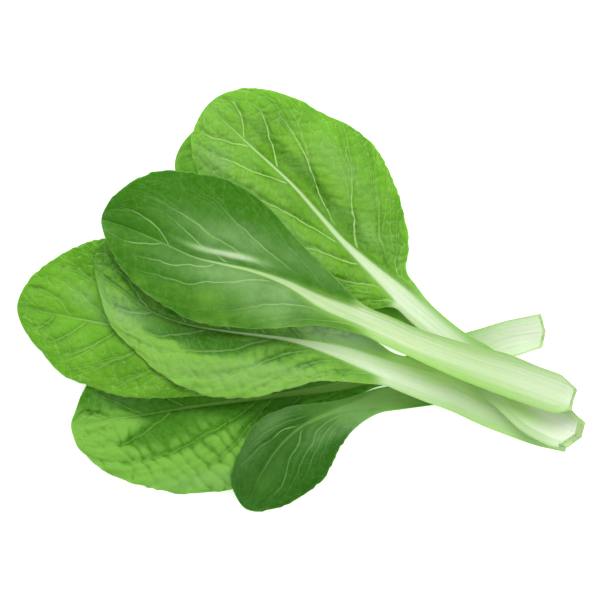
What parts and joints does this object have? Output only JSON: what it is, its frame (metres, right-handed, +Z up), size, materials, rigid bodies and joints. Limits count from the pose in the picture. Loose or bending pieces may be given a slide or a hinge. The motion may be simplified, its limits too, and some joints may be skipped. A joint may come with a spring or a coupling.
{
  "type": "bok choy",
  "caption": "Bok choy taken apart into loose leaves, fanned out and overlapping, with spoon-shaped green blades and pale, slightly hollow stalks that cross at their cut ends.",
  "frame": {"origin": "middle of the fan of leaves seen from above, on the surface that it lies on", "axes": "+Z up from the surface, +X from the tips of the blades towards the cut ends of the stalks"},
  "size_m": [0.2839, 0.212, 0.0409],
  "materials": {
    "bottom_leaf_skin": "satin green leaf skin with paler veins, running into a pale green-white stalk",
    "small_leaf_skin": "satin dark green leaf skin with long pale veins",
    "left_leaf_skin": "satin mid green leaf skin, finely puckered between the veins",
    "back_leaf_skin": "satin green leaf skin with paler veins",
    "middle_leaf_skin": "satin green leaf skin with folds along the side veins and a pale stalk",
    "top_leaf_skin": "satin bright green leaf skin, quilted between the veins, with a pale stalk",
    "front_leaf_skin": "smooth satin green leaf skin with fine pale veins and a broad pale stalk"
  },
  "bodies": {
    "root": {"bottom_leaf": "bottom_leaf_skin", "small_leaf": "small_leaf_skin", "left_leaf": "left_leaf_skin", "back_leaf": "back_leaf_skin", "middle_leaf": "middle_leaf_skin", "top_leaf": "top_leaf_skin", "front_leaf": "front_leaf_skin"}
  },
  "joints": []
}
